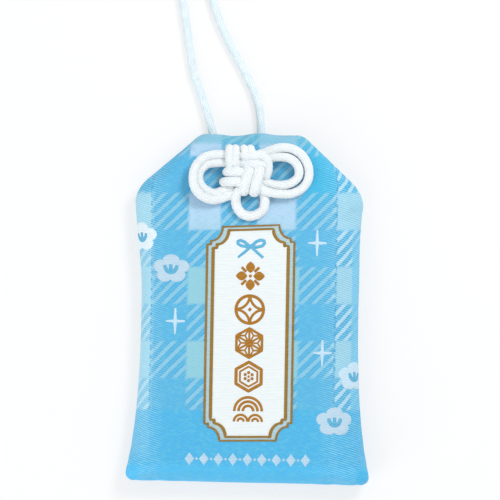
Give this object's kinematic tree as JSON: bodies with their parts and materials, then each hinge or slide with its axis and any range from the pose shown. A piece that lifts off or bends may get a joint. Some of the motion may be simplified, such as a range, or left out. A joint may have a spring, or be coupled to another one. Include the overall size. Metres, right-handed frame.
{
  "type": "omamori charm",
  "caption": "Flat brocade charm pouch with chamfered shoulders, a white cord bow knot on its front and a cord loop for hanging, holding a wooden tablet in paper.",
  "frame": {"origin": "on the table under the middle of the pouch, which lies on its back", "axes": "+X to the right seen from the front, +Y to the top of the pouch where the cord leaves it, +Z out of the front"},
  "size_m": [0.0488, 0.117, 0.0094],
  "materials": {
    "brocade": "satin jacquard weave in two blues and white with gold-coloured thread",
    "cord": "braided, soft sheen",
    "sewing_thread": "twisted thread",
    "card": "uncoated pulp board",
    "paper": "uncoated paper",
    "tablet_wood": "planed, unvarnished"
  },
  "bodies": {
    "pouch": {"front_panel": "brocade", "back_panel": "brocade", "left_seam_thread": "sewing_thread", "right_seam_thread": "sewing_thread", "bottom_seam_thread": "sewing_thread", "left_cord_run": "cord", "right_cord_run": "cord"},
    "insert": {"stiffener_card": "card", "paper_wrapper": "paper", "wooden_tablet": "tablet_wood"},
    "loop": {"hanging_cord": "cord"},
    "knot": {"knot_core": "cord"},
    "left_ear": {"left_ear_outer": "cord", "left_ear_inner": "cord"},
    "right_ear": {"right_ear_outer": "cord", "right_ear_inner": "cord"},
    "tail": {"tail_loop": "cord"}
  },
  "joints": [
    {"name": "loop_swing", "type": "hinge", "parent": "pouch", "child": "loop", "pos_m": [0, 0.03625, 0.0011], "axis": [1, 0, 0], "range_deg": [-90, 90]},
    {"name": "knot_lift", "type": "hinge", "parent": "pouch", "child": "knot", "pos_m": [0, 0.0326, 0.0066], "axis": [-1, 0, 0], "range_deg": [0, 35]},
    {"name": "left_ear_flex", "type": "hinge", "parent": "knot", "child": "left_ear", "pos_m": [-0.0045, 0.0259, 0.00947], "axis": [0, 1, 0], "range_deg": [0, 40], "stiffness_Nm_per_rad": 0.00005},
    {"name": "right_ear_flex", "type": "hinge", "parent": "knot", "child": "right_ear", "pos_m": [0.0029, 0.0259, 0.00795], "axis": [0, -1, 0], "range_deg": [0, 40], "stiffness_Nm_per_rad": 0.00005},
    {"name": "tail_flex", "type": "hinge", "parent": "knot", "child": "tail", "pos_m": [-0.0002, 0.0225, 0.00795], "axis": [-1, 0, 0], "range_deg": [0, 45], "stiffness_Nm_per_rad": 0.00005},
    {"name": "insert_slide", "type": "slide", "parent": "pouch", "child": "insert", "axis": [0, 1, 0], "range_m": [0, 0.003]}
  ]
}
